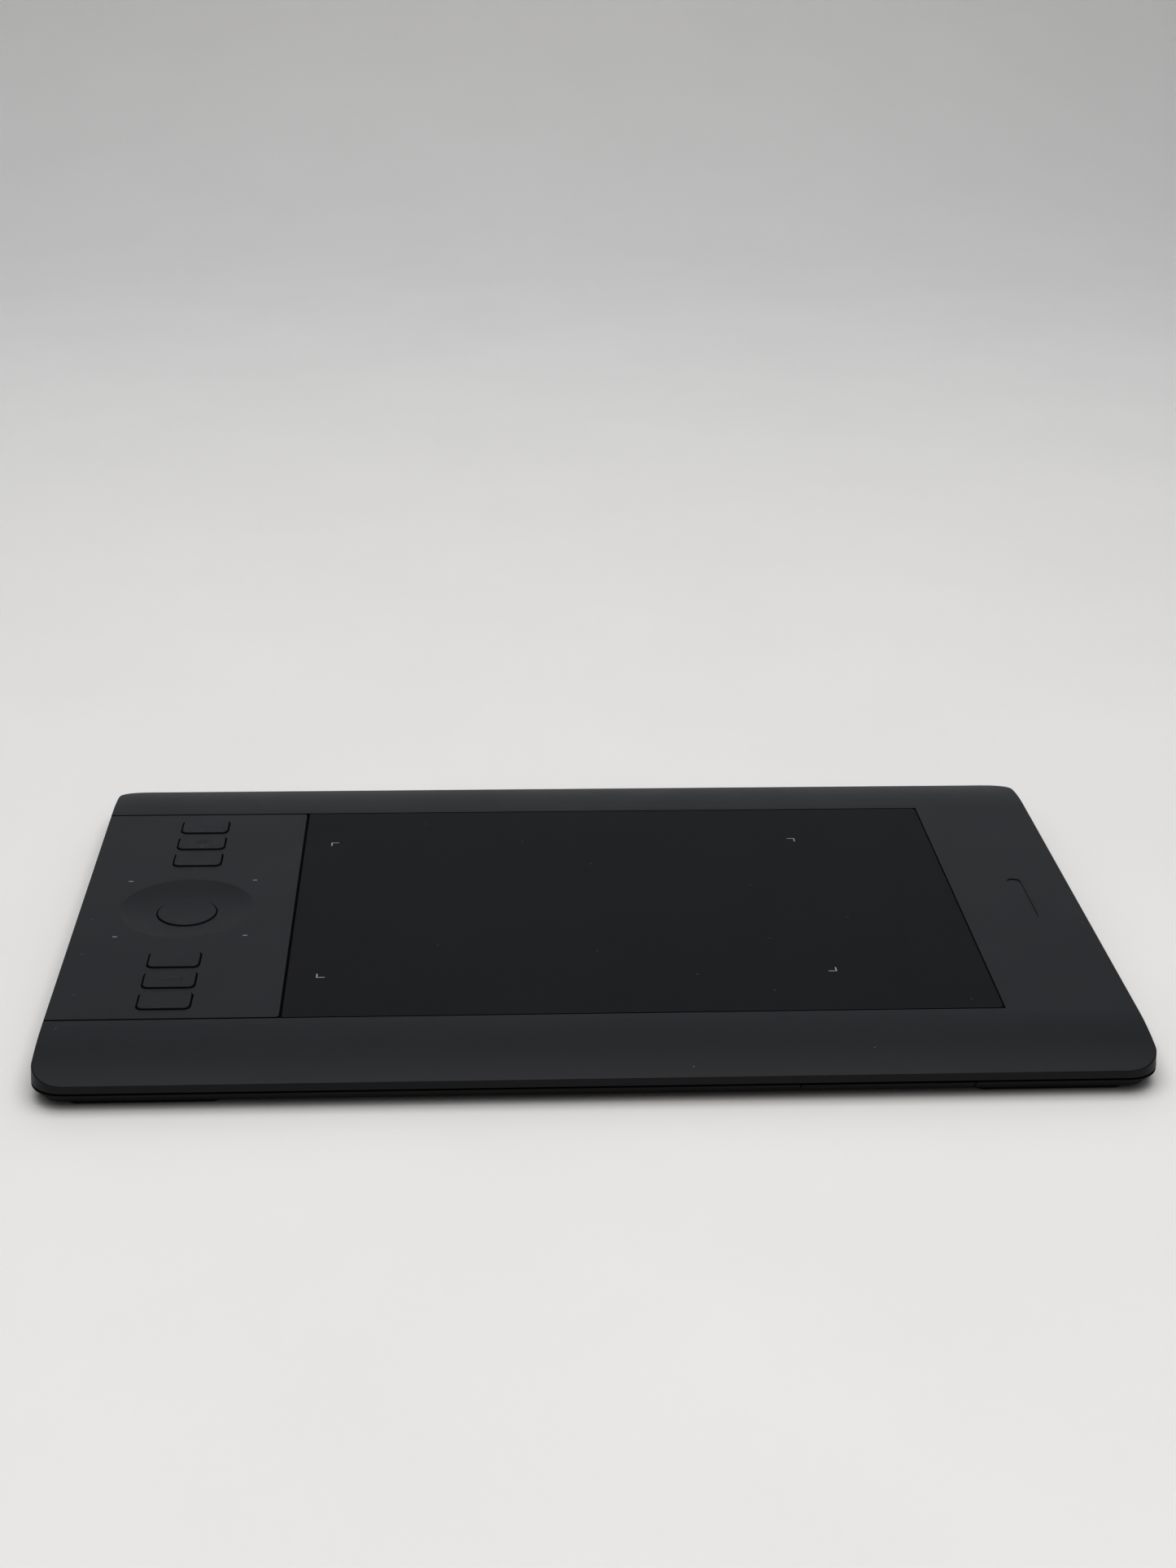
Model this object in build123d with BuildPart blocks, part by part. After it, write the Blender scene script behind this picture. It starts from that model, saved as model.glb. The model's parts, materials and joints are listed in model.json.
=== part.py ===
from build123d import *
import math
import os

# Pen drawing tablet, in millimetres. +X runs to the user's right, +Y away from the user, +Z up.
# The origin is on the desk, under the middle of the tablet.

# Case
LENGTH = 320.0  # along X, at the parting line
DEPTH = 208.0  # along Y, at the parting line
HEIGHT = 12.0  # desk to drawing surface
CORNER_R = 10.0  # plan corners
DRAFT = 4.0  # degrees, side walls of the top case
CROWN_RUN = 27.2  # width of the curved front and rear borders
CROWN_DROP = 4.4  # how far the front and rear edges have come down
SKIN = 2.0  # top case wall, over the top
WALL = 2.0  # side walls
RIM_R = 0.35  # softened top rim
UNDERSIDE = 1.2  # lower case above the desk
FLOOR_T = 1.8  # lower case floor
SHELL_TOP = 4.75  # top of the lower case
GROOVE = 0.6  # dark parting groove
LAND = 0.3  # upright part of the lower case, under the groove
LEAN = 42.0  # degrees, the lower case's sides lean in below that
BELLY_R = 1.2  # rounded lower edge
HULL_IN = 3.0  # case edge to the lower case's inner wall
LIP = 0.7  # top case lip outside the tongue
TONGUE_UP = 0.5  # tongue above the groove
FIT = 0.1  # between pieces that slip together
SNUG = 0.02  # between pieces pressed together
OVER = 1.0  # how far a cutter reaches past the face that it cuts

# Drawing surface
SHEET_T = 0.8
SHEET_FRONT_BORDER = 30.2  # case edge to sheet recess, front and rear
SHEET_RIGHT_BORDER = 40.0
SHEET_GAP = 0.5  # round the sheet
SHEET_CORNER_R = 1.5
PANEL_TO_SHEET = 0.9  # deep slot between them
ACTIVE_LEFT_MARGIN = 8.6
ACTIVE_RIGHT_MARGIN = 45.7
ACTIVE_END_MARGIN = 24.8
MARK_ARM = 2.6
MARK_STROKE = 0.4

# Key panel
PANEL_W = 67.8
PANEL_T = 1.6
PANEL_GAP = 0.75
PANEL_CORNER_R = 1.2
LEDGE = 2.2  # shelf under the panel's edges
LEDGE_T = 1.7

# Keys
KEY_FROM_LEFT = 33.9  # case edge to the keys' middle
KEY_FROM_END = 11.2  # sheet recess to the outermost key's middle
KEY_W = 15.2  # along X
KEY_D = 9.7  # along Y
KEY_R = 1.6
KEY_GAP = 0.5
KEY_PROUD = 0.45
KEY_PITCH = 13.2
KEY_TRAVEL = 0.5
KEY_FLANGE = 0.8  # retaining flange, past the cap
KEY_FLANGE_T = 0.8
KEY_STEM_R = 2.0
KEY_STEM_H = 0.85
KEY_EDGE_R = 0.3
DIMPLE_L = 8.2  # shallow finger mark in the middle front key, along X
SHORT_DIMPLE_L = 3.8  # the same in the middle rear key
DIMPLE_W = 2.6
DIMPLE_DEPTH = 0.2
DIMPLE_SLOPE = 70.0  # degrees from upright, its sides
MOVING_GAP = 0.15  # under and over flanges
STOP_GAP = 0.1  # left over when a key is fully down

# Dished ring and its button
RING_R = 21.0
RING_DEPTH = 1.8
RING_T = 1.2  # wall under the dish
RING_HUB = 1.5  # thick disc, past the dish
DISH_R = 55.0  # the dish's curve, steepest at its outer edge
BUTTON_R = 9.25
BUTTON_GAP = 0.4
BUTTON_EDGE_UP = 0.4  # edge of the button over the dish
BUTTON_DISH = 0.3  # middle of the button under its edge
BUTTON_EDGE_R = 0.3
BUTTON_FLANGE = 1.3
BUTTON_FLANGE_T = 0.75
BUTTON_STEM_R = 2.5
BUTTON_STEM_H = 0.2
BUTTON_TRAVEL = 0.4
LIGHT_OFF = 20.0  # light windows, along X and Y from the ring's middle
LIGHT_W = 1.4
LIGHT_D = 0.5
LIGHT_FOOT = 0.5  # foot of a light guide, past its stem
LIGHT_FOOT_T = 0.5

# Key board and what stands on it
BOARD_T = 1.0
BOARD_R = 2.5
KEY_BOARD_Z = 6.0
KEY_BOARD_INSET = 3.4  # case edge to the board
KEY_BOARD_SHORT = 4.8  # board edge to the panel's right edge
KEY_BOARD_MARGIN = 3.3  # board edge to the sheet recess's front and rear walls
PANEL_BOSS_R = 2.2
PANEL_BOSS_X = 17.5
PANEL_BOSS_BY_KEYS = 6.7  # from the innermost key's middle towards the ring
MAT_T = 0.3
MAT_R = 1.0
DOME_R = 2.6
LED_H = 0.5
RING_FILM_T = 0.15
RING_FILM_IN = 1.0  # film's inner edge, past the button's flange

# Left side: cable inlet, power button and status light
SIDE_Z = 8.25
SIDE_INSET = 0.35  # faces behind the widest point of the case
PORT_W = 7.5
PORT_H = 2.5
PORT_L = 5.6
PORT_WALL = 0.3
PORT_TONGUE_W = 4.6
PORT_TONGUE_T = 0.6
PORT_MOUTH = 1.2  # tongue's tip behind the inlet's face
POWER_Y = 13.0
POWER_W = 7.0
POWER_H = 2.0
POWER_GAP = 0.15
POWER_TRAVEL = 0.35
POWER_FLANGE = 0.5
POWER_FLANGE_T = 0.5
POWER_SWITCH_L = 2.5
STATUS_Y = 20.5
STATUS_R = 0.6
STATUS_LAP = 1.0  # the light guide's end over the key board
STATUS_LED_L = 1.5
STATUS_LED_W = 2.0

# Layers under the drawing surface
TOUCH_T = 0.3
SENSOR_MARGIN = 6.0
SENSOR_T = 1.0
SHIELD_T = 0.5

# Main board
MAIN_FROM_PANEL = 12.0
MAIN_W = 70.0
MAIN_D = 60.0
MAIN_Z = 5.0
MAIN_BOSS_IN = 5.0
CHIP = 10.0
CHIP_H = 1.2
LINK_W = 20.0  # connector up to the sensor board
LINK_D = 3.0
LINK_CLEAR = 1.0  # opening in the shield round that connector
RIBBON_W = 12.0
RIBBON_T = 0.3
RIBBON_LAP = 6.0
RIBBON_LEAD = 1.0  # flat stretch past each board's edge

# Bays and their doors: the front one holds the battery, the rear one the wireless module
BAY_FROM_RIGHT = 53.8
BATTERY_BAY_W = 50.2
BATTERY_BAY_L = 58.0
MODULE_BAY_W = 38.0
MODULE_BAY_L = 46.0
DOOR_T = 1.2
DOOR_GAP = 0.3
BAND_T = 4.4  # the door's end band
RAIL_IN = 1.85  # the plate is narrower than the band by this, each side
RAIL_T = 0.8
PAD_ROOF = 1.0
BAY_WALL = 1.5
BAY_ROOF = 0.6
BAY_SETBACK = 13.0  # from the case's edge to the deep part of a bay
BAY_TOP = 8.1
GRIP_COUNT = 5
GRIP_PITCH = 2.2
GRIP_W = 18.0
GRIP_D = 1.0
GRIP_DEPTH = 0.35
BATTERY_H = 3.7
MODULE_H = 2.8
PACK_GAP = 1.0  # round the battery and the module
PACK_R = 1.5
CONTACT_L = 4.0
CONTACT_W = 16.0

# Feet
FOOT_L = 43.5
FOOT_D = 10.0
FOOT_R = 3.0
FOOT_SINK = 0.4
FOOT_FROM_END = 10.0
FOOT_FROM_EDGE = 3.8
FOOT_EDGE_R = 0.4

# Screws
SCREW_R = 0.8
HEAD_R = 1.9
HEAD_H = 1.1
SMALL_HEAD_R = 1.7
SMALL_HEAD_H = 0.9
DRIVE_R = 0.7
DRIVE_DEPTH = 0.5
CASE_BOSS_R = 2.6
SEAT_R = 3.4
SEAT_T = 1.0
MIDDLE_SCREW_X = -10.0

# Plain deboss on the right-hand border
BADGE_FROM_RIGHT = 18.0
BADGE_W = 4.6
BADGE_L = 30.0
BADGE_DEPTH = 0.25

# Derived places along X and Y
LEFT = -LENGTH / 2
RIGHT = LENGTH / 2
EDGE = DEPTH / 2
CROWN_FLAT = EDGE - CROWN_RUN
SHEET_HALF = EDGE - SHEET_FRONT_BORDER
SHEET_RIGHT = RIGHT - SHEET_RIGHT_BORDER
PANEL_RIGHT = LEFT + PANEL_W
SHEET_LEFT = PANEL_RIGHT + PANEL_TO_SHEET
PANEL_HALF = SHEET_HALF - PANEL_GAP
KEY_X = LEFT + KEY_FROM_LEFT
KEY_ROWS = [SHEET_HALF - KEY_FROM_END - n * KEY_PITCH for n in range(3)]
KEY_YS = [-y for y in KEY_ROWS] + KEY_ROWS[::-1]
ACTIVE_LEFT = SHEET_LEFT + ACTIVE_LEFT_MARGIN
ACTIVE_RIGHT = SHEET_RIGHT - ACTIVE_RIGHT_MARGIN
ACTIVE_HALF = SHEET_HALF - ACTIVE_END_MARGIN
KEY_BOARD_LEFT = LEFT + KEY_BOARD_INSET
KEY_BOARD_RIGHT = PANEL_RIGHT - KEY_BOARD_SHORT
KEY_BOARD_HALF = SHEET_HALF - KEY_BOARD_MARGIN
FACE_X = LEFT + SIDE_INSET
INNER_X = LEFT + WALL
MAIN_LEFT = PANEL_RIGHT + MAIN_FROM_PANEL
MAIN_X = MAIN_LEFT + MAIN_W / 2
LINK_X = MAIN_X + MAIN_W / 4
FOOT_X = RIGHT - FOOT_FROM_END - FOOT_L / 2
FOOT_Y = EDGE - FOOT_FROM_EDGE - FOOT_D / 2
BADGE_X = RIGHT - BADGE_FROM_RIGHT
BAY_RIGHT = RIGHT - BAY_FROM_RIGHT

# Derived heights
CROWN_R = (CROWN_RUN**2 + CROWN_DROP**2) / (2 * CROWN_DROP)
CASE_BOTTOM = SHELL_TOP + GROOVE
TONGUE_TOP = CASE_BOTTOM + TONGUE_UP
RABBET_TOP = TONGUE_TOP + FIT
CEILING = HEIGHT - SKIN
SHEET_Z = HEIGHT - SHEET_T
PANEL_Z = HEIGHT - PANEL_T
FLOOR_Z = UNDERSIDE + FLOOR_T
RING_Z = HEIGHT - RING_DEPTH
HUB_Z = RING_Z - RING_T
BUTTON_HOLE_R = BUTTON_R + BUTTON_GAP
KEY_BOARD_TOP = KEY_BOARD_Z + BOARD_T
KEY_TOP = HEIGHT + KEY_PROUD
FLANGE_TOP = PANEL_Z - MOVING_GAP
FLANGE_Z = FLANGE_TOP - KEY_FLANGE_T
STEM_Z = FLANGE_Z - KEY_STEM_H
DOME_TOP = STEM_Z - KEY_TRAVEL - STOP_GAP
BUTTON_FLANGE_TOP = HUB_Z - MOVING_GAP
BUTTON_FLANGE_Z = BUTTON_FLANGE_TOP - BUTTON_FLANGE_T
BUTTON_STEM_Z = BUTTON_FLANGE_Z - BUTTON_STEM_H
TOUCH_Z = CEILING - TOUCH_T
SENSOR_Z = TOUCH_Z - SENSOR_T
SHIELD_Z = SENSOR_Z - SHIELD_T
MAIN_TOP = MAIN_Z + BOARD_T
FOOT_TOP = UNDERSIDE + FOOT_SINK
RAIL_Z = UNDERSIDE + DOOR_T
RAIL_TOP = RAIL_Z + RAIL_T
PAD_TOP = RAIL_TOP + FIT + PAD_ROOF
SEAT_Z = FOOT_TOP + HEAD_H + 2 * FIT

CASE_SCREWS = [(x, side * FOOT_Y) for x in (-FOOT_X, MIDDLE_SCREW_X, FOOT_X) for side in (-1, 1)]
PANEL_SCREW_YS = (KEY_ROWS[2] - PANEL_BOSS_BY_KEYS, KEY_ROWS[0] + KEY_D / 2)
PANEL_SCREWS = [
    (KEY_X + sx * PANEL_BOSS_X, sy * y) for sx in (-1, 1) for sy in (-1, 1) for y in PANEL_SCREW_YS
]
MAIN_SCREWS = [
    (MAIN_X + sx * (MAIN_W / 2 - MAIN_BOSS_IN), sy * (MAIN_D / 2 - MAIN_BOSS_IN))
    for sx in (-1, 1)
    for sy in (-1, 1)
]


def slab(x0, x1, y0, y1, z0, z1, radius=0.0, mode=Mode.ADD):
    """An upright block between two corners, with rounded plan corners where a radius is given."""
    with BuildSketch(Plane.XY.offset(z0)) as plan:
        with Locations(((x0 + x1) / 2, (y0 + y1) / 2)):
            if radius > 0:
                RectangleRounded(abs(x1 - x0), abs(y1 - y0), radius)
            else:
                Rectangle(abs(x1 - x0), abs(y1 - y0))
    extrude(plan.sketch, amount=z1 - z0, mode=mode)


def rod(x, y, z0, z1, radius, mode=Mode.ADD):
    """An upright round bar or hole."""
    with BuildSketch(Plane.XY.offset(z0)) as plan:
        with Locations((x, y)):
            Circle(radius)
    extrude(plan.sketch, amount=z1 - z0, mode=mode)


def outline(inset, z0, z1, mode=Mode.ADD, taper=0.0):
    """The case's plan, set in from the widest outline."""
    with BuildSketch(Plane.XY.offset(z0)) as plan:
        RectangleRounded(LENGTH - 2 * inset, DEPTH - 2 * inset, CORNER_R - inset)
    extrude(plan.sketch, amount=z1 - z0, taper=taper, mode=mode)


def crown(depth_in, bottom, mode=Mode.ADD):
    """The case's section, along X: flat in the middle, then an arc down to the front and rear edges."""
    top = HEIGHT - depth_in
    turn = math.degrees(math.asin(CROWN_RUN / CROWN_R))
    with BuildSketch(Plane.YZ.offset(LEFT)) as section:
        with BuildLine():
            arc = JernArc((CROWN_FLAT, top), (1, 0), CROWN_R - depth_in, -turn)
            outer = EDGE + OVER
            Polyline(arc @ 1, (outer, (arc @ 1).Y), (outer, bottom), (0, bottom), (0, top), (CROWN_FLAT, top))
        make_face()
        mirror(about=Plane.YZ)
    extrude(section.sketch, amount=LENGTH, mode=mode)


def crown_z(y):
    """Height of the outer surface at a distance y from the middle."""
    run = max(abs(y) - CROWN_FLAT, 0.0)
    return HEIGHT - CROWN_R + math.sqrt(CROWN_R**2 - run**2)


def bay_cuts(right, width, length, side):
    """What a bay and its door's slot take out of the lower case. side is -1 at the front, 1 at the rear."""
    middle = right - width / 2
    plate = width / 2 - RAIL_IN
    end = side * (EDGE - length)
    deep = side * (EDGE - BAY_SETBACK)
    out = side * (EDGE + OVER)
    cut = Mode.SUBTRACT
    slab(middle - plate, middle + plate, out, end, UNDERSIDE, PAD_TOP - PAD_ROOF / 2, mode=cut)
    slab(middle - plate, middle + plate, deep, end, RAIL_Z, BAY_TOP - BAY_ROOF, mode=cut)
    slab(right - width, right, out, end, RAIL_Z - FIT, RAIL_TOP + FIT, mode=cut)
    slab(right - width, right, out, side * (EDGE - BAND_T - DOOR_GAP), 0, SHELL_TOP, mode=cut)


def bay_block(right, width, length, side):
    """The thick surround of a bay, inside the lower case."""
    middle = right - width / 2
    half = width / 2
    end = side * (EDGE - length - BAY_WALL)
    edge = side * (EDGE - HULL_IN + FIT)
    deep = side * (EDGE - BAY_SETBACK + BAY_WALL)
    slab(middle - half - BAY_WALL, middle + half + BAY_WALL, edge, end, UNDERSIDE + FLOOR_T / 2, PAD_TOP)
    slab(middle - half, middle + half, deep, end, FLOOR_Z, BAY_TOP)


def door(label, right, width, length, side):
    """A bay door: an end band that is part of the lower case's form, a thin plate and two rails."""
    middle = right - width / 2
    band = width / 2 - DOOR_GAP
    plate = band - RAIL_IN
    end = side * (EDGE - length + DOOR_GAP)
    behind = side * (EDGE - BAND_T)
    with BuildPart() as piece:
        slab(middle - band, middle + band, side * (EDGE + OVER), behind, 0, SHELL_TOP - FIT)
        slab(middle - plate, middle + plate, behind, end, UNDERSIDE, RAIL_Z)
        add(case_form.part, mode=Mode.INTERSECT)
        slab(middle - band, middle + band, behind, end, RAIL_Z, RAIL_TOP)
        between = plate - RAIL_IN
        slab(middle - between, middle + between, behind, end, RAIL_Z, RAIL_TOP, mode=Mode.SUBTRACT)
        for n in range(GRIP_COUNT):
            y = side * (EDGE - BAND_T - 3 * GRIP_PITCH - n * GRIP_PITCH)
            slab(
                middle - GRIP_W / 2,
                middle + GRIP_W / 2,
                y - GRIP_D / 2,
                y + GRIP_D / 2,
                UNDERSIDE,
                UNDERSIDE + GRIP_DEPTH,
                radius=GRIP_D / 2 - SNUG,
                mode=Mode.SUBTRACT,
            )
    piece.part.label = label
    export_step(piece.part, f"parts/{label}.step")


os.makedirs("parts", exist_ok=True)

# Top case: the border round the sheet and the panel
with BuildPart() as top_form:
    crown(0, CASE_BOTTOM)
    outline(0, CASE_BOTTOM, HEIGHT, mode=Mode.INTERSECT, taper=DRAFT)
    rim = top_form.edges().filter_by(lambda e: e.center().Z > HEIGHT - CROWN_DROP - 0.5)
    rim = rim.filter_by(
        lambda e: abs((e @ 0.5).X) > RIGHT - CORNER_R or abs((e @ 0.5).Y) > EDGE - CORNER_R
    )
    fillet(rim, radius=RIM_R)

with BuildPart() as top_hollow:
    crown(SKIN, CASE_BOTTOM - OVER)
    outline(WALL, CASE_BOTTOM - OVER, CEILING, mode=Mode.INTERSECT)

with BuildPart() as top_frame:
    add(top_form.part)
    add(top_hollow.part, mode=Mode.SUBTRACT)
    outline(LIP, CASE_BOTTOM - OVER, RABBET_TOP, mode=Mode.SUBTRACT)
    slab(LEFT - OVER, SHEET_LEFT, -SHEET_HALF, SHEET_HALF, 0, HEIGHT + OVER, mode=Mode.SUBTRACT)
    for side in (-1, 1):
        slab(
            INNER_X,
            SHEET_LEFT + LEDGE,
            side * (SHEET_HALF - LEDGE),
            side * (SHEET_HALF + LEDGE),
            PANEL_Z - LEDGE_T,
            PANEL_Z - FIT,
        )
    slab(SHEET_LEFT - LEDGE, SHEET_LEFT + LEDGE, -SHEET_HALF, SHEET_HALF, PANEL_Z - LEDGE_T, PANEL_Z - FIT)
    for x, y in CASE_SCREWS:
        rod(x, y, SEAT_Z + SEAT_T + FIT, crown_z(abs(y) + CASE_BOSS_R) - SKIN / 4, CASE_BOSS_R)
        rod(x, y, SEAT_Z, crown_z(abs(y) + CASE_BOSS_R) - SKIN * 0.6, SCREW_R + SNUG, mode=Mode.SUBTRACT)
    slab(
        SHEET_LEFT,
        SHEET_RIGHT + SHEET_GAP,
        -SHEET_HALF,
        SHEET_HALF,
        SHEET_Z,
        HEIGHT + OVER,
        mode=Mode.SUBTRACT,
    )
    with BuildSketch(Plane.XY.offset(HEIGHT)):
        with Locations((BADGE_X, 0)):
            SlotOverall(BADGE_L, BADGE_W, rotation=90)
    extrude(amount=-BADGE_DEPTH, mode=Mode.SUBTRACT)
top_frame.part.label = "top_frame"
export_step(top_frame.part, "parts/top_frame.step")

# Lower case
with BuildPart() as case_form:
    outline(0, SHELL_TOP - LAND, SHELL_TOP)
    outline(0, SHELL_TOP - LAND, UNDERSIDE, taper=LEAN)
    fillet(case_form.faces().sort_by(Axis.Z)[0].edges(), radius=BELLY_R)

with BuildPart() as bottom_shell:
    add(case_form.part)
    outline(HULL_IN, FLOOR_Z, SHELL_TOP + OVER, mode=Mode.SUBTRACT)
    with BuildSketch(Plane.XY.offset(SHELL_TOP)):
        RectangleRounded(LENGTH - 2 * (LIP + FIT), DEPTH - 2 * (LIP + FIT), CORNER_R - LIP - FIT)
        RectangleRounded(LENGTH - 2 * WALL, DEPTH - 2 * WALL, CORNER_R - WALL, mode=Mode.SUBTRACT)
    extrude(amount=TONGUE_TOP - SHELL_TOP)
    bay_block(BAY_RIGHT, BATTERY_BAY_W, BATTERY_BAY_L, -1)
    bay_block(BAY_RIGHT, MODULE_BAY_W, MODULE_BAY_L, 1)
    for x, y in CASE_SCREWS:
        rod(x, y, FLOOR_Z - FIT, SEAT_Z + SEAT_T, SEAT_R)
    for x, y in MAIN_SCREWS:
        rod(x, y, FLOOR_Z - FIT, MAIN_Z, PANEL_BOSS_R)
    bay_cuts(BAY_RIGHT, BATTERY_BAY_W, BATTERY_BAY_L, -1)
    bay_cuts(BAY_RIGHT, MODULE_BAY_W, MODULE_BAY_L, 1)
    for x, y in CASE_SCREWS:
        rod(x, y, 0, SEAT_Z, HEAD_R + FIT, mode=Mode.SUBTRACT)
        rod(x, y, SEAT_Z, SEAT_Z + SEAT_T, SCREW_R + FIT, mode=Mode.SUBTRACT)
    for x, y in MAIN_SCREWS:
        rod(x, y, FLOOR_Z - FIT, MAIN_Z, SCREW_R + SNUG, mode=Mode.SUBTRACT)
    for sx in (-1, 1):
        for sy in (-1, 1):
            x = sx * FOOT_X
            y = sy * FOOT_Y
            half_l = FOOT_L / 2 + FIT
            half_d = FOOT_D / 2 + FIT
            slab(x - half_l, x + half_l, y - half_d, y + half_d, 0, FOOT_TOP, FOOT_R + FIT, Mode.SUBTRACT)
bottom_shell.part.label = "bottom_shell"
export_step(bottom_shell.part, "parts/bottom_shell.step")

door("battery_door", BAY_RIGHT, BATTERY_BAY_W, BATTERY_BAY_L, -1)
door("module_door", BAY_RIGHT, MODULE_BAY_W, MODULE_BAY_L, 1)

# Feet, let into the lower case
for label, sx, sy in (
    ("foot_front_left", -1, -1),
    ("foot_front_right", 1, -1),
    ("foot_rear_left", -1, 1),
    ("foot_rear_right", 1, 1),
):
    with BuildPart() as foot:
        x = sx * FOOT_X
        y = sy * FOOT_Y
        slab(x - FOOT_L / 2, x + FOOT_L / 2, y - FOOT_D / 2, y + FOOT_D / 2, 0, FOOT_TOP, FOOT_R)
        fillet(foot.faces().sort_by(Axis.Z)[0].edges(), radius=FOOT_EDGE_R)
    foot.part.label = label
    export_step(foot.part, f"parts/{label}.step")

# Textured drawing sheet, with slots for the light marks at the corners of the active area
MARKS = [
    (x, y, -1 if x > (ACTIVE_LEFT + ACTIVE_RIGHT) / 2 else 1, -1 if y > 0 else 1)
    for y in (-ACTIVE_HALF, ACTIVE_HALF)
    for x in (ACTIVE_LEFT, ACTIVE_RIGHT)
]


def mark(x, y, into_x, into_y, grow, mode=Mode.ADD):
    """An L whose outer corner is at x, y and whose arms run inwards."""
    stroke = MARK_STROKE + grow
    arm = MARK_ARM + grow
    x0 = x - into_x * grow
    y0 = y - into_y * grow
    slab(x0, x0 + into_x * (arm + grow), y0, y0 + into_y * (stroke + grow), SHEET_Z, HEIGHT, mode=mode)
    slab(x0, x0 + into_x * (stroke + grow), y0, y0 + into_y * (arm + grow), SHEET_Z, HEIGHT, mode=mode)


with BuildPart() as work_surface:
    slab(SHEET_LEFT, SHEET_RIGHT, SHEET_GAP - SHEET_HALF, SHEET_HALF - SHEET_GAP, SHEET_Z, HEIGHT)
    fillet(work_surface.edges().filter_by(Axis.Z).group_by(Axis.X)[-1], radius=SHEET_CORNER_R)
    for place in MARKS:
        mark(*place, SNUG, mode=Mode.SUBTRACT)
work_surface.part.label = "work_surface"
export_step(work_surface.part, "parts/work_surface.step")

for number, place in enumerate(MARKS, 1):
    with BuildPart() as corner_mark:
        mark(*place, 0)
    corner_mark.part.label = f"corner_mark_{number}"
    export_step(corner_mark.part, f"parts/corner_mark_{number}.step")

# Key panel: a thin top that turns down into the case's left side
RING_AXIS = Axis((KEY_X, 0, 0), (0, 0, 1))
RING_PLANE = Plane(origin=(KEY_X, 0, 0), x_dir=(1, 0, 0), z_dir=(0, -1, 0))
LIGHTS = [(KEY_X + sx * LIGHT_OFF, sy * LIGHT_OFF) for sy in (-1, 1) for sx in (-1, 1)]

with BuildPart() as key_panel:
    add(top_form.part)
    slab(LEFT, PANEL_RIGHT, -PANEL_HALF, PANEL_HALF, CASE_BOTTOM, HEIGHT, mode=Mode.INTERSECT)
    fillet(
        key_panel.edges().filter_by(Axis.Z).group_by(Axis.X)[-1],
        radius=PANEL_CORNER_R,
    )
    slab(INNER_X, PANEL_RIGHT + OVER, -EDGE, EDGE, 0, PANEL_Z, mode=Mode.SUBTRACT)
    slab(LEFT + LIP, PANEL_RIGHT, -EDGE, EDGE, 0, RABBET_TOP, mode=Mode.SUBTRACT)
    rod(KEY_X, 0, HUB_Z, PANEL_Z + FIT, RING_R + RING_HUB)
    for x, y in PANEL_SCREWS:
        rod(x, y, KEY_BOARD_TOP, PANEL_Z + FIT, PANEL_BOSS_R)
        rod(x, y, KEY_BOARD_TOP, PANEL_Z, SCREW_R + SNUG, mode=Mode.SUBTRACT)
    # The dish: a shallow bowl, steepest at its outer edge
    with BuildSketch(RING_PLANE):
        with BuildLine():
            RadiusArc((RING_R, HEIGHT), (BUTTON_HOLE_R, RING_Z), DISH_R)
            Polyline(
                (BUTTON_HOLE_R, RING_Z),
                (0, RING_Z),
                (0, HEIGHT + OVER),
                (RING_R, HEIGHT + OVER),
                (RING_R, HEIGHT),
            )
        make_face()
    revolve(axis=RING_AXIS, mode=Mode.SUBTRACT)
    rod(KEY_X, 0, 0, HEIGHT + OVER, BUTTON_HOLE_R, mode=Mode.SUBTRACT)
    for y in KEY_YS:
        half_w = KEY_W / 2 + KEY_GAP
        half_d = KEY_D / 2 + KEY_GAP
        slab(
            KEY_X - half_w,
            KEY_X + half_w,
            y - half_d,
            y + half_d,
            PANEL_Z,
            HEIGHT,
            radius=KEY_R + KEY_GAP,
            mode=Mode.SUBTRACT,
        )
    for x, y in LIGHTS:
        half_w = LIGHT_W / 2 + SNUG
        half_d = LIGHT_D / 2 + SNUG
        slab(x - half_w, x + half_w, y - half_d, y + half_d, PANEL_Z, HEIGHT, mode=Mode.SUBTRACT)
    # Openings in the left side
    for y, width, height, gap in (
        (0, PORT_W, PORT_H, FIT),
        (POWER_Y, POWER_W, POWER_H, POWER_GAP),
    ):
        with BuildSketch(Plane.YZ.offset(LEFT - OVER)):
            with Locations((y, SIDE_Z)):
                RectangleRounded(width + 2 * gap, height + 2 * gap, height / 3)
        extrude(amount=WALL + OVER, mode=Mode.SUBTRACT)
    with BuildSketch(Plane.YZ.offset(LEFT - OVER)):
        with Locations((STATUS_Y, SIDE_Z)):
            Circle(STATUS_R + SNUG)
    extrude(amount=WALL + OVER, mode=Mode.SUBTRACT)
key_panel.part.label = "key_panel"
export_step(key_panel.part, "parts/key_panel.step")

for number, (x, y) in enumerate(LIGHTS, 1):
    with BuildPart() as ring_light:
        slab(x - LIGHT_W / 2, x + LIGHT_W / 2, y - LIGHT_D / 2, y + LIGHT_D / 2, PANEL_Z, HEIGHT)
        foot_w = LIGHT_W / 2 + LIGHT_FOOT
        foot_d = LIGHT_D / 2 + LIGHT_FOOT
        slab(x - foot_w, x + foot_w, y - foot_d, y + foot_d, PANEL_Z - LIGHT_FOOT_T, PANEL_Z)
        slab(
            x - LIGHT_W / 2, x + LIGHT_W / 2, y - LIGHT_D / 2, y + LIGHT_D / 2, KEY_BOARD_TOP + LED_H, PANEL_Z
        )
    ring_light.part.label = f"ring_light_{number}"
    export_step(ring_light.part, f"parts/ring_light_{number}.step")

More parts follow.
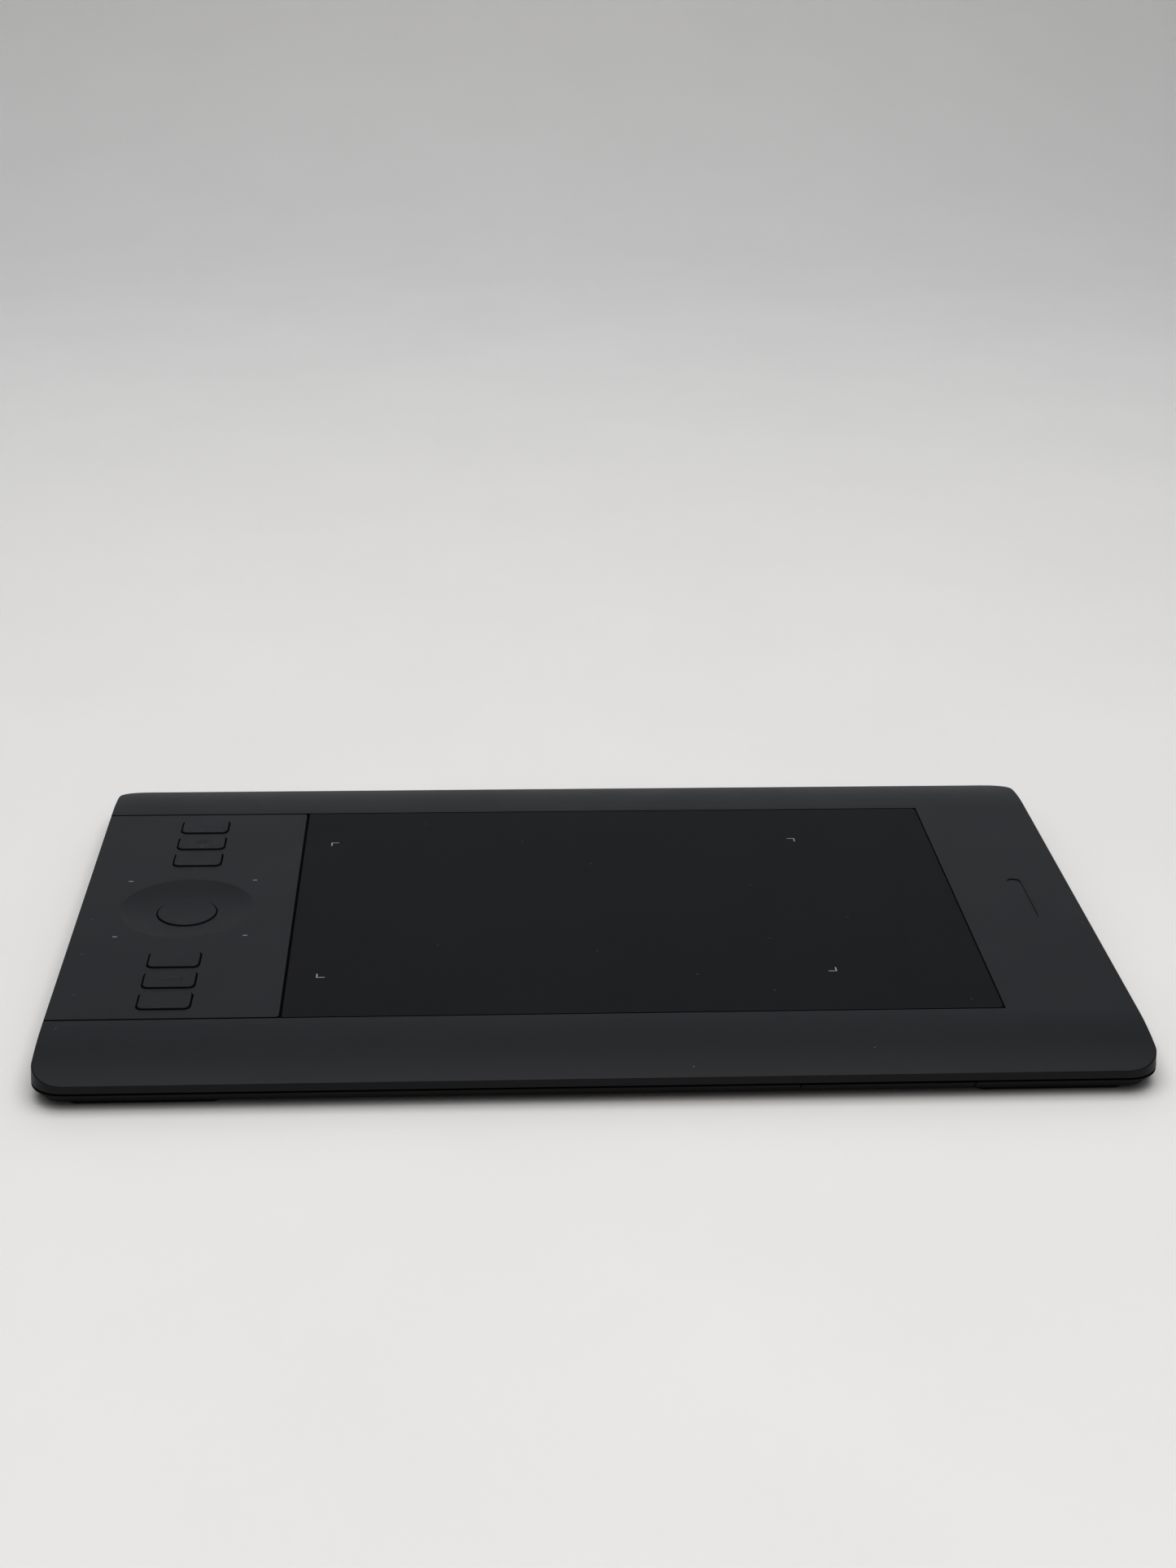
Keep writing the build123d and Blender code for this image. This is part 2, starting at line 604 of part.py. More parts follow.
# Keys: cap, retaining flange and stem
for number, y in enumerate(KEY_YS, 1):
    with BuildPart() as key:
        half_w = KEY_W / 2
        half_d = KEY_D / 2
        slab(KEY_X - half_w, KEY_X + half_w, y - half_d, y + half_d, FLANGE_Z, KEY_TOP, KEY_R)
        fillet(key.faces().sort_by(Axis.Z)[-1].edges(), radius=KEY_EDGE_R)
        half_w += KEY_FLANGE
        half_d += KEY_FLANGE
        slab(KEY_X - half_w, KEY_X + half_w, y - half_d, y + half_d, FLANGE_Z, FLANGE_TOP, KEY_R)
        rod(KEY_X, y, STEM_Z, FLANGE_Z, KEY_STEM_R)
        dimple = {2: DIMPLE_L, 5: SHORT_DIMPLE_L}.get(number)
        if dimple:
            with BuildSketch(Plane.XY.offset(KEY_TOP)):
                with Locations((KEY_X, y)):
                    SlotOverall(dimple, DIMPLE_W)
            extrude(amount=-DIMPLE_DEPTH, taper=DIMPLE_SLOPE, mode=Mode.SUBTRACT)
    key.part.label = f"key_{number}"
    export_step(key.part, f"parts/key_{number}.step")

# Button in the middle of the ring
with BuildPart() as ring_button:
    edge_z = RING_Z + BUTTON_EDGE_UP
    with BuildSketch(RING_PLANE) as profile:
        with BuildLine():
            ThreePointArc(
                (0, edge_z - BUTTON_DISH),
                (BUTTON_R / 2, edge_z - BUTTON_DISH * 3 / 4),
                (BUTTON_R, edge_z),
            )
            Polyline(
                (BUTTON_R, edge_z),
                (BUTTON_R, BUTTON_FLANGE_TOP),
                (BUTTON_R + BUTTON_FLANGE, BUTTON_FLANGE_TOP),
                (BUTTON_R + BUTTON_FLANGE, BUTTON_FLANGE_Z),
                (BUTTON_STEM_R, BUTTON_FLANGE_Z),
                (BUTTON_STEM_R, BUTTON_STEM_Z),
                (0, BUTTON_STEM_Z),
                (0, edge_z - BUTTON_DISH),
            )
        make_face()
        fillet(profile.vertices().group_by(Axis.X)[-2].sort_by(Axis.Y)[-1], radius=BUTTON_EDGE_R)
    revolve(axis=RING_AXIS)
ring_button.part.label = "ring_button"
export_step(ring_button.part, "parts/ring_button.step")

# Power button, worked through the left side
SHAFT_IN = INNER_X + MOVING_GAP + POWER_FLANGE_T
SWITCH_X = KEY_BOARD_LEFT + POWER_FLANGE_T
with BuildPart() as power_button:
    with BuildSketch(Plane.YZ.offset(FACE_X)):
        with Locations((POWER_Y, SIDE_Z)):
            RectangleRounded(POWER_W, POWER_H, POWER_H / 3)
    extrude(amount=SHAFT_IN - FACE_X)
    fillet(power_button.faces().sort_by(Axis.X)[0].edges(), radius=RIM_R / 2)
    with BuildSketch(Plane.YZ.offset(INNER_X + MOVING_GAP)):
        with Locations((POWER_Y, SIDE_Z)):
            Rectangle(POWER_W + 2 * POWER_FLANGE, POWER_H + 2 * POWER_FLANGE)
    extrude(amount=POWER_FLANGE_T)
power_button.part.label = "power_button"
export_step(power_button.part, "parts/power_button.step")

with BuildPart() as power_switch:
    slab(
        SHAFT_IN + POWER_TRAVEL + STOP_GAP,
        SHAFT_IN + POWER_TRAVEL + STOP_GAP + POWER_SWITCH_L,
        POWER_Y - POWER_W / 3,
        POWER_Y + POWER_W / 3,
        KEY_BOARD_TOP,
        SIDE_Z + POWER_H / 2,
    )
power_switch.part.label = "power_switch"
export_step(power_switch.part, "parts/power_switch.step")

# Status light: a round light guide from the side to the board
with BuildPart() as status_light:
    with BuildSketch(Plane.YZ.offset(FACE_X)):
        with Locations((STATUS_Y, SIDE_Z)):
            Circle(STATUS_R)
    extrude(amount=KEY_BOARD_LEFT + STATUS_LAP - FACE_X)
status_light.part.label = "status_light"
export_step(status_light.part, "parts/status_light.step")

# Cable inlet: a folded metal shell round a plastic tongue
with BuildPart() as usb_port:
    with BuildSketch(Plane.YZ.offset(FACE_X)):
        with Locations((0, SIDE_Z)):
            RectangleRounded(PORT_W, PORT_H, PORT_H / 3)
    extrude(amount=PORT_L)
    with BuildSketch(Plane.YZ.offset(FACE_X)):
        with Locations((0, SIDE_Z)):
            RectangleRounded(PORT_W - 2 * PORT_WALL, PORT_H - 2 * PORT_WALL, PORT_H / 3 - PORT_WALL)
    extrude(amount=PORT_L - 2 * PORT_WALL, mode=Mode.SUBTRACT)
usb_port.part.label = "usb_port"
export_step(usb_port.part, "parts/usb_port.step")

with BuildPart() as usb_tongue:
    slab(
        FACE_X + PORT_MOUTH,
        FACE_X + PORT_L - 2 * PORT_WALL,
        -PORT_TONGUE_W / 2,
        PORT_TONGUE_W / 2,
        SIDE_Z - PORT_TONGUE_T / 2,
        SIDE_Z + PORT_TONGUE_T / 2,
    )
usb_tongue.part.label = "usb_tongue"
export_step(usb_tongue.part, "parts/usb_tongue.step")

# Key board with the small lamps under the light guides
with BuildPart() as key_board:
    slab(
        KEY_BOARD_LEFT,
        KEY_BOARD_RIGHT,
        -KEY_BOARD_HALF,
        KEY_BOARD_HALF,
        KEY_BOARD_Z,
        KEY_BOARD_TOP,
        BOARD_R,
    )
    for x, y in LIGHTS:
        slab(x - LIGHT_W, x + LIGHT_W, y - LIGHT_W / 2, y + LIGHT_W / 2, KEY_BOARD_TOP, KEY_BOARD_TOP + LED_H)
    slab(
        KEY_BOARD_LEFT + STATUS_LAP,
        KEY_BOARD_LEFT + STATUS_LAP + STATUS_LED_L,
        STATUS_Y - STATUS_LED_W / 2,
        STATUS_Y + STATUS_LED_W / 2,
        KEY_BOARD_TOP,
        SIDE_Z + STATUS_R,
    )
    for x, y in PANEL_SCREWS:
        rod(x, y, KEY_BOARD_Z, KEY_BOARD_TOP, SCREW_R + FIT, mode=Mode.SUBTRACT)
key_board.part.label = "key_board"
export_step(key_board.part, "parts/key_board.step")

# Rubber domes under the keys, one mat for each bank
with BuildPart() as key_domes:
    for side in (-1, 1):
        half_w = KEY_W / 2
        near = side * (KEY_ROWS[2] - KEY_D / 2)
        far = side * (KEY_ROWS[0] + KEY_D / 2)
        slab(KEY_X - half_w, KEY_X + half_w, near, far, KEY_BOARD_TOP, KEY_BOARD_TOP + MAT_T, MAT_R)
    for y in KEY_YS:
        rod(KEY_X, y, KEY_BOARD_TOP, DOME_TOP, DOME_R)
key_domes.part.label = "key_domes"
export_step(key_domes.part, "parts/key_domes.step")

with BuildPart() as ring_dome:
    rod(KEY_X, 0, KEY_BOARD_TOP, BUTTON_STEM_Z - BUTTON_TRAVEL - STOP_GAP, BUTTON_STEM_R)
ring_dome.part.label = "ring_dome"
export_step(ring_dome.part, "parts/ring_dome.step")

# Touch film stuck under the dish
with BuildPart() as ring_sensor:
    rod(KEY_X, 0, HUB_Z - RING_FILM_T, HUB_Z, RING_R)
    rod(KEY_X, 0, HUB_Z - RING_FILM_T, HUB_Z, BUTTON_R + BUTTON_FLANGE + RING_FILM_IN, mode=Mode.SUBTRACT)
ring_sensor.part.label = "ring_sensor"
export_step(ring_sensor.part, "parts/ring_sensor.step")

# Layers under the drawing surface
LAYER = (ACTIVE_LEFT - SENSOR_MARGIN, ACTIVE_RIGHT + SENSOR_MARGIN)
LAYER_HALF = ACTIVE_HALF + SENSOR_MARGIN
with BuildPart() as touch_sensor:
    slab(*LAYER, -LAYER_HALF, LAYER_HALF, TOUCH_Z, CEILING)
touch_sensor.part.label = "touch_sensor"
export_step(touch_sensor.part, "parts/touch_sensor.step")

with BuildPart() as sensor_board:
    slab(*LAYER, -LAYER_HALF, LAYER_HALF, SENSOR_Z, TOUCH_Z)
sensor_board.part.label = "sensor_board"
export_step(sensor_board.part, "parts/sensor_board.step")

with BuildPart() as shield_plate:
    slab(*LAYER, -LAYER_HALF, LAYER_HALF, SHIELD_Z, SENSOR_Z)
    slab(
        LINK_X - LINK_W / 2 - LINK_CLEAR,
        LINK_X + LINK_W / 2 + LINK_CLEAR,
        -LINK_D / 2 - LINK_CLEAR,
        LINK_D / 2 + LINK_CLEAR,
        SHIELD_Z,
        SENSOR_Z,
        mode=Mode.SUBTRACT,
    )
shield_plate.part.label = "shield_plate"
export_step(shield_plate.part, "parts/shield_plate.step")

# Main board, with its chips
with BuildPart() as main_board:
    slab(MAIN_LEFT, MAIN_LEFT + MAIN_W, -MAIN_D / 2, MAIN_D / 2, MAIN_Z, MAIN_TOP)
    for x, y in ((MAIN_X - CHIP, CHIP), (MAIN_X, -CHIP), (MAIN_X + CHIP, CHIP)):
        slab(x - CHIP / 2, x + CHIP / 2, y - CHIP / 2, y + CHIP / 2, MAIN_TOP, MAIN_TOP + CHIP_H)
    for x, y in MAIN_SCREWS:
        rod(x, y, MAIN_Z, MAIN_TOP, SCREW_R + FIT, mode=Mode.SUBTRACT)
main_board.part.label = "main_board"
export_step(main_board.part, "parts/main_board.step")

with BuildPart() as sensor_connector:
    slab(LINK_X - LINK_W / 2, LINK_X + LINK_W / 2, -LINK_D / 2, LINK_D / 2, MAIN_TOP, SENSOR_Z)
sensor_connector.part.label = "sensor_connector"
export_step(sensor_connector.part, "parts/sensor_connector.step")

# Flat cable from the key board down to the main board
with BuildPart() as ribbon_cable:
    x0 = KEY_BOARD_RIGHT - RIBBON_LAP
    x3 = MAIN_LEFT + RIBBON_LAP
    with BuildSketch(Plane.XZ.offset(-RIBBON_W / 2)):
        with BuildLine():
            Polyline(
                (x0, KEY_BOARD_TOP),
                (KEY_BOARD_RIGHT + RIBBON_LEAD, KEY_BOARD_TOP),
                (MAIN_LEFT - RIBBON_LEAD, MAIN_TOP),
                (x3, MAIN_TOP),
                (x3, MAIN_TOP + RIBBON_T),
                (MAIN_LEFT - RIBBON_LEAD, MAIN_TOP + RIBBON_T),
                (KEY_BOARD_RIGHT + RIBBON_LEAD, KEY_BOARD_TOP + RIBBON_T),
                (x0, KEY_BOARD_TOP + RIBBON_T),
                (x0, KEY_BOARD_TOP),
            )
        make_face()
    extrude(amount=RIBBON_W)
ribbon_cable.part.label = "ribbon_cable"
export_step(ribbon_cable.part, "parts/ribbon_cable.step")


def bay_contents(pack, contacts, right, width, length, height, side):
    """What lies in a bay: a pack or module, and the contacts at its inner end."""
    middle = right - width / 2
    half = width / 2 - RAIL_IN - PACK_GAP
    end = side * (EDGE - length)
    stop = end + side * CONTACT_L
    front = side * (EDGE - BAY_SETBACK - PACK_GAP)
    low = RAIL_TOP + 2 * FIT
    with BuildPart() as body:
        slab(middle - half, middle + half, stop, front, low, low + height, PACK_R)
    body.part.label = pack
    export_step(body.part, f"parts/{pack}.step")
    with BuildPart() as block:
        slab(middle - CONTACT_W / 2, middle + CONTACT_W / 2, end, stop, low, low + height - FIT)
    block.part.label = contacts
    export_step(block.part, f"parts/{contacts}.step")


bay_contents(
    "battery_pack", "battery_contacts", BAY_RIGHT, BATTERY_BAY_W, BATTERY_BAY_L, BATTERY_H, -1
)
bay_contents("wireless_module", "module_socket", BAY_RIGHT, MODULE_BAY_W, MODULE_BAY_L, MODULE_H, 1)


def screw(x, y, seat, tip, head_r, head_h, up):
    """A pan head screw seated at a height, with its tip up or down from there."""
    head_end = seat - up * head_h
    rod(x, y, min(seat, head_end), max(seat, head_end), head_r)
    rod(x, y, min(seat, tip), max(seat, tip), SCREW_R)
    drive_end = head_end + up * DRIVE_DEPTH
    rod(x, y, min(head_end, drive_end), max(head_end, drive_end), DRIVE_R, mode=Mode.SUBTRACT)


with BuildPart() as case_screws:
    for x, y in CASE_SCREWS:
        tip = crown_z(abs(y) + CASE_BOSS_R) - SKIN
        screw(x, y, SEAT_Z, tip, HEAD_R, HEAD_H, 1)
case_screws.part.label = "case_screws"
export_step(case_screws.part, "parts/case_screws.step")

with BuildPart() as panel_screws:
    for x, y in PANEL_SCREWS:
        screw(x, y, KEY_BOARD_Z, PANEL_Z - SKIN / 2, SMALL_HEAD_R, SMALL_HEAD_H, 1)
panel_screws.part.label = "panel_screws"
export_step(panel_screws.part, "parts/panel_screws.step")

with BuildPart() as board_screws:
    for x, y in MAIN_SCREWS:
        screw(x, y, MAIN_TOP, FLOOR_Z, SMALL_HEAD_R, SMALL_HEAD_H, -1)
board_screws.part.label = "board_screws"
export_step(board_screws.part, "parts/board_screws.step")
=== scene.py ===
import json
import math

import bmesh
import bpy
from mathutils import Matrix, Vector


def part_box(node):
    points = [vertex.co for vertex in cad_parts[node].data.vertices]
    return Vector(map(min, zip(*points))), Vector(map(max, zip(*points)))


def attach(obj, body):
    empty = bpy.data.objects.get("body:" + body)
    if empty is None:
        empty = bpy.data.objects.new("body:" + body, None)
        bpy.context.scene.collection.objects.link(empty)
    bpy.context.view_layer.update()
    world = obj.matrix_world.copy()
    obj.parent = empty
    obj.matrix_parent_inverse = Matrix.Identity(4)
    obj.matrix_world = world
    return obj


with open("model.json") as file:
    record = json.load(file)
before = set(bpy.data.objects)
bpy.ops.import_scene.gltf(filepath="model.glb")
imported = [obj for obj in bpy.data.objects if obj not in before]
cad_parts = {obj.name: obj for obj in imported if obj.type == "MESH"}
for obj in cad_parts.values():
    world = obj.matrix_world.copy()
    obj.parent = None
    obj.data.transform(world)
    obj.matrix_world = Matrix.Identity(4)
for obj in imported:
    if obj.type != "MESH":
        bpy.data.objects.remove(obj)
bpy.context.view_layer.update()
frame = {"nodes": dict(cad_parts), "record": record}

# Pen drawing tablet: finishes, small parts, light and camera. Blender units are metres.
MM = 0.001


def to_linear(hex_colour):
    """An sRGB hex colour as linear RGBA."""
    channels = []
    for start in (1, 3, 5):
        value = int(hex_colour[start:start + 2], 16) / 255
        channels.append(value / 12.92 if value <= 0.04045 else ((value + 0.055) / 1.055) ** 2.4)
    return (*channels, 1.0)


def add_node(tree, kind, inputs=None, stops=(), **settings):
    """A shader node with its settings; a socket given as an input is linked, anything else is set.

    stops are a ramp's two or more (place, linear colour).
    """
    node = tree.nodes.new(kind)
    for name, value in settings.items():
        setattr(node, name, value)
    for number, (place, colour) in enumerate(stops):
        elements = node.color_ramp.elements
        element = elements[number] if number < len(elements) else elements.new(place)
        element.position = place
        element.color = colour
    for key, value in (inputs or {}).items():
        if isinstance(value, bpy.types.NodeSocket):
            tree.links.new(value, node.inputs[key])
        else:
            node.inputs[key].default_value = value
    return node


def new_material(name):
    """An empty node material with its output node."""
    material = bpy.data.materials.new(name)
    material.use_nodes = True
    material.node_tree.nodes.clear()
    output = material.node_tree.nodes.new("ShaderNodeOutputMaterial")
    return material, material.node_tree, output


def mask_of(tree, place, tests):
    """A mask of one where every test holds. A test is (place or facing, axis, comparison, limit)."""
    facing = add_node(tree, "ShaderNodeNewGeometry").outputs["True Normal"]
    splits = {
        "place": add_node(tree, "ShaderNodeSeparateXYZ", {"Vector": place}),
        "facing": add_node(tree, "ShaderNodeSeparateXYZ", {"Vector": facing}),
    }
    mask = 1.0
    for what, axis, comparison, limit in tests:
        test = add_node(
            tree, "ShaderNodeMath", {0: splits[what].outputs[axis], 1: limit}, operation=comparison,
        )
        joined = add_node(tree, "ShaderNodeMath", {0: test.outputs[0], 1: mask}, operation="MULTIPLY")
        mask = joined.outputs[0]
    return mask


def plastic(
    name, dark, light, rough, grain_mm, depth_mm, patch_mm=35.0, specular=0.5, ior=1.5, dust=None,
    gap_shade=None,
):
    """A moulded or coated plastic: slow tone patches, a fine grain, and roughness that drifts a little.

    rough is (low, high). dust is (cell mm, speck radius mm, share of cells) or None. The gap tests
    pick out the walls of gaps, whose colour is painted near-black as painted shade and made rough.
    """
    material, tree, output = new_material(name)
    place = add_node(tree, "ShaderNodeTexCoord").outputs["Object"]
    patches = add_node(
        tree, "ShaderNodeTexNoise", {"Vector": place, "Scale": 1 / (patch_mm * MM), "Detail": 3.0},
    )
    tone = add_node(
        tree, "ShaderNodeValToRGB", {"Fac": patches.outputs["Fac"]},
        [(0.3, to_linear(dark)), (0.7, to_linear(light))],
    )
    colour = tone.outputs["Color"]
    drift = add_node(tree, "ShaderNodeMapRange", {
        "Value": patches.outputs["Fac"],
        "From Min": 0.3, "From Max": 0.7, "To Min": rough[0], "To Max": rough[1],
    })
    roughness = drift.outputs["Result"]
    grain = add_node(
        tree, "ShaderNodeTexNoise", {"Vector": place, "Scale": 1 / (grain_mm * MM), "Detail": 2.0},
    )
    bump = add_node(tree, "ShaderNodeBump", {
        "Height": grain.outputs["Fac"], "Distance": depth_mm * MM, "Strength": 1.0,
    })
    if dust:
        cell_mm, speck_mm, share = dust
        cells = add_node(
            tree, "ShaderNodeTexVoronoi", {"Vector": place, "Scale": 1 / (cell_mm * MM)},
            voronoi_dimensions="2D",
        )
        chosen = add_node(tree, "ShaderNodeSeparateColor", {"Color": cells.outputs["Color"]})
        keep = add_node(
            tree, "ShaderNodeMath", {0: chosen.outputs["Red"], 1: share}, operation="LESS_THAN",
        )
        near = add_node(tree, "ShaderNodeMapRange", {
            "Value": cells.outputs["Distance"],
            "From Min": speck_mm / cell_mm, "From Max": 0.4 * speck_mm / cell_mm,
            "To Min": 0.0, "To Max": 0.55,
        })
        speck = add_node(
            tree, "ShaderNodeMath", {0: keep.outputs[0], 1: near.outputs["Result"]}, operation="MULTIPLY",
        )
        mixed = add_node(
            tree, "ShaderNodeMix", {0: speck.outputs[0], 6: colour, 7: to_linear("#8C8D8F")},
            data_type="RGBA",
        )
        colour = mixed.outputs[2]
    # Painted shade in the gaps: the walls the tests pick out turn near-black and rough
    if gap_shade:
        mask = mask_of(tree, place, gap_shade)
        gap_shaded = add_node(
            tree, "ShaderNodeMix", {0: mask, 6: colour, 7: to_linear("#030303")}, data_type="RGBA",
        )
        colour = gap_shaded.outputs[2]
        rougher = add_node(tree, "ShaderNodeMath", {0: roughness, 1: mask}, operation="MAXIMUM")
        roughness = rougher.outputs[0]
    shader = add_node(tree, "ShaderNodeBsdfPrincipled", {
        "Base Color": colour, "Roughness": roughness, "Normal": bump.outputs["Normal"],
        "IOR": ior, "Specular IOR Level": specular,
    })
    tree.links.new(shader.outputs["BSDF"], output.inputs["Surface"])
    return material


def metal(name, dark, light, rough, grain_mm, depth_mm):
    """A metal surface with a fine grain along it."""
    material, tree, output = new_material(name)
    place = add_node(tree, "ShaderNodeTexCoord").outputs["Object"]
    grain = add_node(
        tree, "ShaderNodeTexNoise", {"Vector": place, "Scale": 1 / (grain_mm * MM), "Detail": 3.0},
    )
    tone = add_node(
        tree, "ShaderNodeValToRGB", {"Fac": grain.outputs["Fac"]},
        [(0.35, to_linear(dark)), (0.65, to_linear(light))],
    )
    drift = add_node(tree, "ShaderNodeMapRange", {
        "Value": grain.outputs["Fac"], "To Min": rough[0], "To Max": rough[1],
    })
    bump = add_node(tree, "ShaderNodeBump", {
        "Height": grain.outputs["Fac"], "Distance": depth_mm * MM, "Strength": 1.0,
    })
    shader = add_node(tree, "ShaderNodeBsdfPrincipled", {
        "Base Color": tone.outputs["Color"], "Roughness": drift.outputs["Result"],
        "Normal": bump.outputs["Normal"], "Metallic": 1.0,
    })
    tree.links.new(shader.outputs["BSDF"], output.inputs["Surface"])
    return material


# Finishes -----------------------------------------------------------------------------------------

# Lint on the top faces: cell, speck radius (mm) and share of cells
TOP_DUST = (26.0, 0.32, 0.3)

# Walls of the gaps, coloured near-black as painted shade: the recess round the sheet and the panel,
# the panel's cut-outs, the sides of the sheet and the keys, and the groove over the lower case
SHEET_LOW, SHEET_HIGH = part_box("work_surface")
PANEL_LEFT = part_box("key_panel")[0].x
DOOR_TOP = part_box("battery_door")[1].z
HEM = 0.7 * MM  # past the sheet's edge to the recess wall and a little over
SHADE_BELOW_TOP = 0.06 * MM  # how far below the sheet's top the painted shade in a gap starts
KEY_SHADE_TOP = 0.12 * MM  # a key's side is coloured as painted shade up to this far over the sheet
GROOVE_UP = 0.05 * MM  # over the door's top
STEEP = 0.3  # a wall's normal leans less than this from level
UNDER_TOP = ("place", "Z", "LESS_THAN", SHEET_HIGH.z - SHADE_BELOW_TOP)
UPRIGHT = [("facing", "Z", "LESS_THAN", STEEP), ("facing", "Z", "GREATER_THAN", -STEEP)]
RECESS_WALLS = [
    UNDER_TOP,
    ("place", "X", "LESS_THAN", SHEET_HIGH.x + HEM),
    ("place", "Y", "LESS_THAN", SHEET_HIGH.y + HEM),
    ("place", "Y", "GREATER_THAN", SHEET_LOW.y - HEM),
]
PANEL_WALLS = [UNDER_TOP, ("place", "X", "GREATER_THAN", PANEL_LEFT + HEM), *UPRIGHT]
SHEET_WALLS = [UNDER_TOP]
KEY_WALLS = [("place", "Z", "LESS_THAN", SHEET_HIGH.z + KEY_SHADE_TOP)]
GROOVE_WALLS = [("place", "Z", "GREATER_THAN", DOOR_TOP + GROOVE_UP)]

# Rubberised soft-touch paint over ABS: almost black, a wide soft highlight, a few specks of lint.
# Its real tooth is under a tenth of a millimetre, and is drawn coarser, so that it shows.
SOFT_TOUCH = {
    "dark": "#111216", "light": "#131519", "rough": (0.43, 0.47),
    "grain_mm": 0.6, "depth_mm": 0.018, "dust": TOP_DUST,
}
# The case and panel copies colour their gap walls near-black as painted shade
frame_paint = plastic("soft_touch_paint_case", gap_shade=RECESS_WALLS, **SOFT_TOUCH)
panel_paint = plastic("soft_touch_paint_panel", gap_shade=PANEL_WALLS, **SOFT_TOUCH)
# Polyester drawing sheet, matter and darker than the case, its fine tooth drawn coarser
# The sheet's cut edges are coloured near-black as painted shade
drawing_sheet = plastic(
    "toothed_polyester_sheet", "#0B0B0E", "#0B0B0E", (0.52, 0.54), 0.50, 0.016,
    specular=0.28, dust=TOP_DUST, gap_shade=SHEET_WALLS,
)
# Keys are moulded ABS with the same coating, rubbed a little smoother by fingers
KEY_COAT = {
    "dark": "#101216", "light": "#131519", "rough": (0.43, 0.48),
    "grain_mm": 0.5, "depth_mm": 0.010, "patch_mm": 6.0,
}
# The key and button copies colour their sides near-black as painted shade in the gaps
key_coat = plastic("finger_worn_key_coat", gap_shade=KEY_WALLS, **KEY_COAT)
button_coat = plastic("finger_worn_button_coat", gap_shade=UPRIGHT, **KEY_COAT)
side_coat = plastic("side_button_coat", **KEY_COAT)
# Spark-eroded ABS of the lower case: a visible fine texture, coloured darker as painted overhang shade
ERODED_ABS = {
    "dark": "#0C0D0E", "light": "#101112", "rough": (0.50, 0.60),
    "grain_mm": 0.6, "depth_mm": 0.030, "patch_mm": 25.0, "specular": 0.4,
}
eroded_abs = plastic("spark_eroded_abs", **ERODED_ABS)
# This copy colours the groove walls over the door near-black as painted shade
shell_abs = plastic("spark_eroded_abs_shell", gap_shade=GROOVE_WALLS, **ERODED_ABS)
# Solid rubber feet, dull, with a trace of bloom
foot_rubber = plastic(
    "moulded_foot_rubber", "#0E0E0F", "#161616", (0.75, 0.85), 0.8, 0.030, patch_mm=7.0, specular=0.3,
)
# Milky polycarbonate light guides, unlit
milky_guide = plastic(
    "milky_polycarbonate", "#9A9C9E", "#A8AAAC", (0.30, 0.40), 0.3, 0.003, patch_mm=2.0, ior=1.58,
)
# Green solder mask over glass-fibre board, with the weave just showing
solder_mask = plastic("green_solder_mask", "#12331F", "#1A4429", (0.28, 0.40), 0.9, 0.012, patch_mm=9.0)
# Amber polyimide film of flexible circuits
polyimide = plastic("amber_polyimide_film", "#7A4E17", "#92611F", (0.25, 0.35), 1.2, 0.006, patch_mm=12.0)
# Grey silicone of key mats and domes
silicone = plastic("grey_silicone", "#4A4D50", "#56595C", (0.55, 0.65), 0.5, 0.010, patch_mm=8.0)
# Black liquid-crystal polymer of connectors and switches
connector_lcp = plastic(
    "black_connector_polymer", "#0F0F10", "#151516", (0.40, 0.50), 0.4, 0.008, patch_mm=4.0,
)
# Battery pack in satin heat-shrink film
shrink_film = plastic("satin_shrink_film", "#20262C", "#272E35", (0.30, 0.42), 3.0, 0.060, patch_mm=14.0)
# White paper-like label film, left blank
label_film = plastic("blank_label_film", "#B9BBBC", "#C6C8C9", (0.45, 0.55), 0.4, 0.004, patch_mm=18.0)
# Silver-grey label film of the underside, left blank
grey_label_film = plastic("grey_label_film", "#3A3C3F", "#424447", (0.36, 0.46), 0.4, 0.004, patch_mm=18.0)
# Zinc-plated steel of screws and the shield
zinc_steel = metal("zinc_plated_steel", "#9A9CA0", "#B4B6BA", (0.32, 0.45), 0.6, 0.006)
# Nickel-plated folded shell of the cable inlet
nickel_shell = metal("nickel_plated_shell", "#8F8E8A", "#A8A7A2", (0.22, 0.32), 0.4, 0.004)
# Gold flash on contact pads
gold_flash = metal("gold_flash_contacts", "#B8903C", "#D0A850", (0.22, 0.30), 0.3, 0.002)

FINISHES = {
    "case_plastic": frame_paint,
    "door_plastic": eroded_abs,
    "sheet_plastic": drawing_sheet,
    "key_plastic": key_coat,
    "foot_rubber": foot_rubber,
    "light_guide": milky_guide,
    "circuit_board": solder_mask,
    "touch_film": polyimide,
    "dome_rubber": silicone,
    "steel": zinc_steel,
    "battery_wrap": shrink_film,
    "module_case": eroded_abs,
}
# Pieces whose finish isn't their slot's
OWN_FINISH = {
    "key_panel": panel_paint,
    "ring_button": button_coat,
    "power_button": side_coat,
    "bottom_shell": shell_abs,
    "usb_port": nickel_shell,
    "usb_tongue": connector_lcp,
    "power_switch": connector_lcp,
    "sensor_connector": connector_lcp,
    "module_socket": connector_lcp,
    "battery_contacts": connector_lcp,
}


def finish_nodes():
    """Gives every carried-over piece its finish."""
    slots = {entry["node"]: entry["material_slot"] for entry in frame["record"]["subparts"]}
    for name, piece in frame["nodes"].items():
        material = OWN_FINISH.get(name, FINISHES[slots[name]])
        piece.data.materials.clear()
        piece.data.materials.append(material)


# Small parts --------------------------------------------------------------------------------------

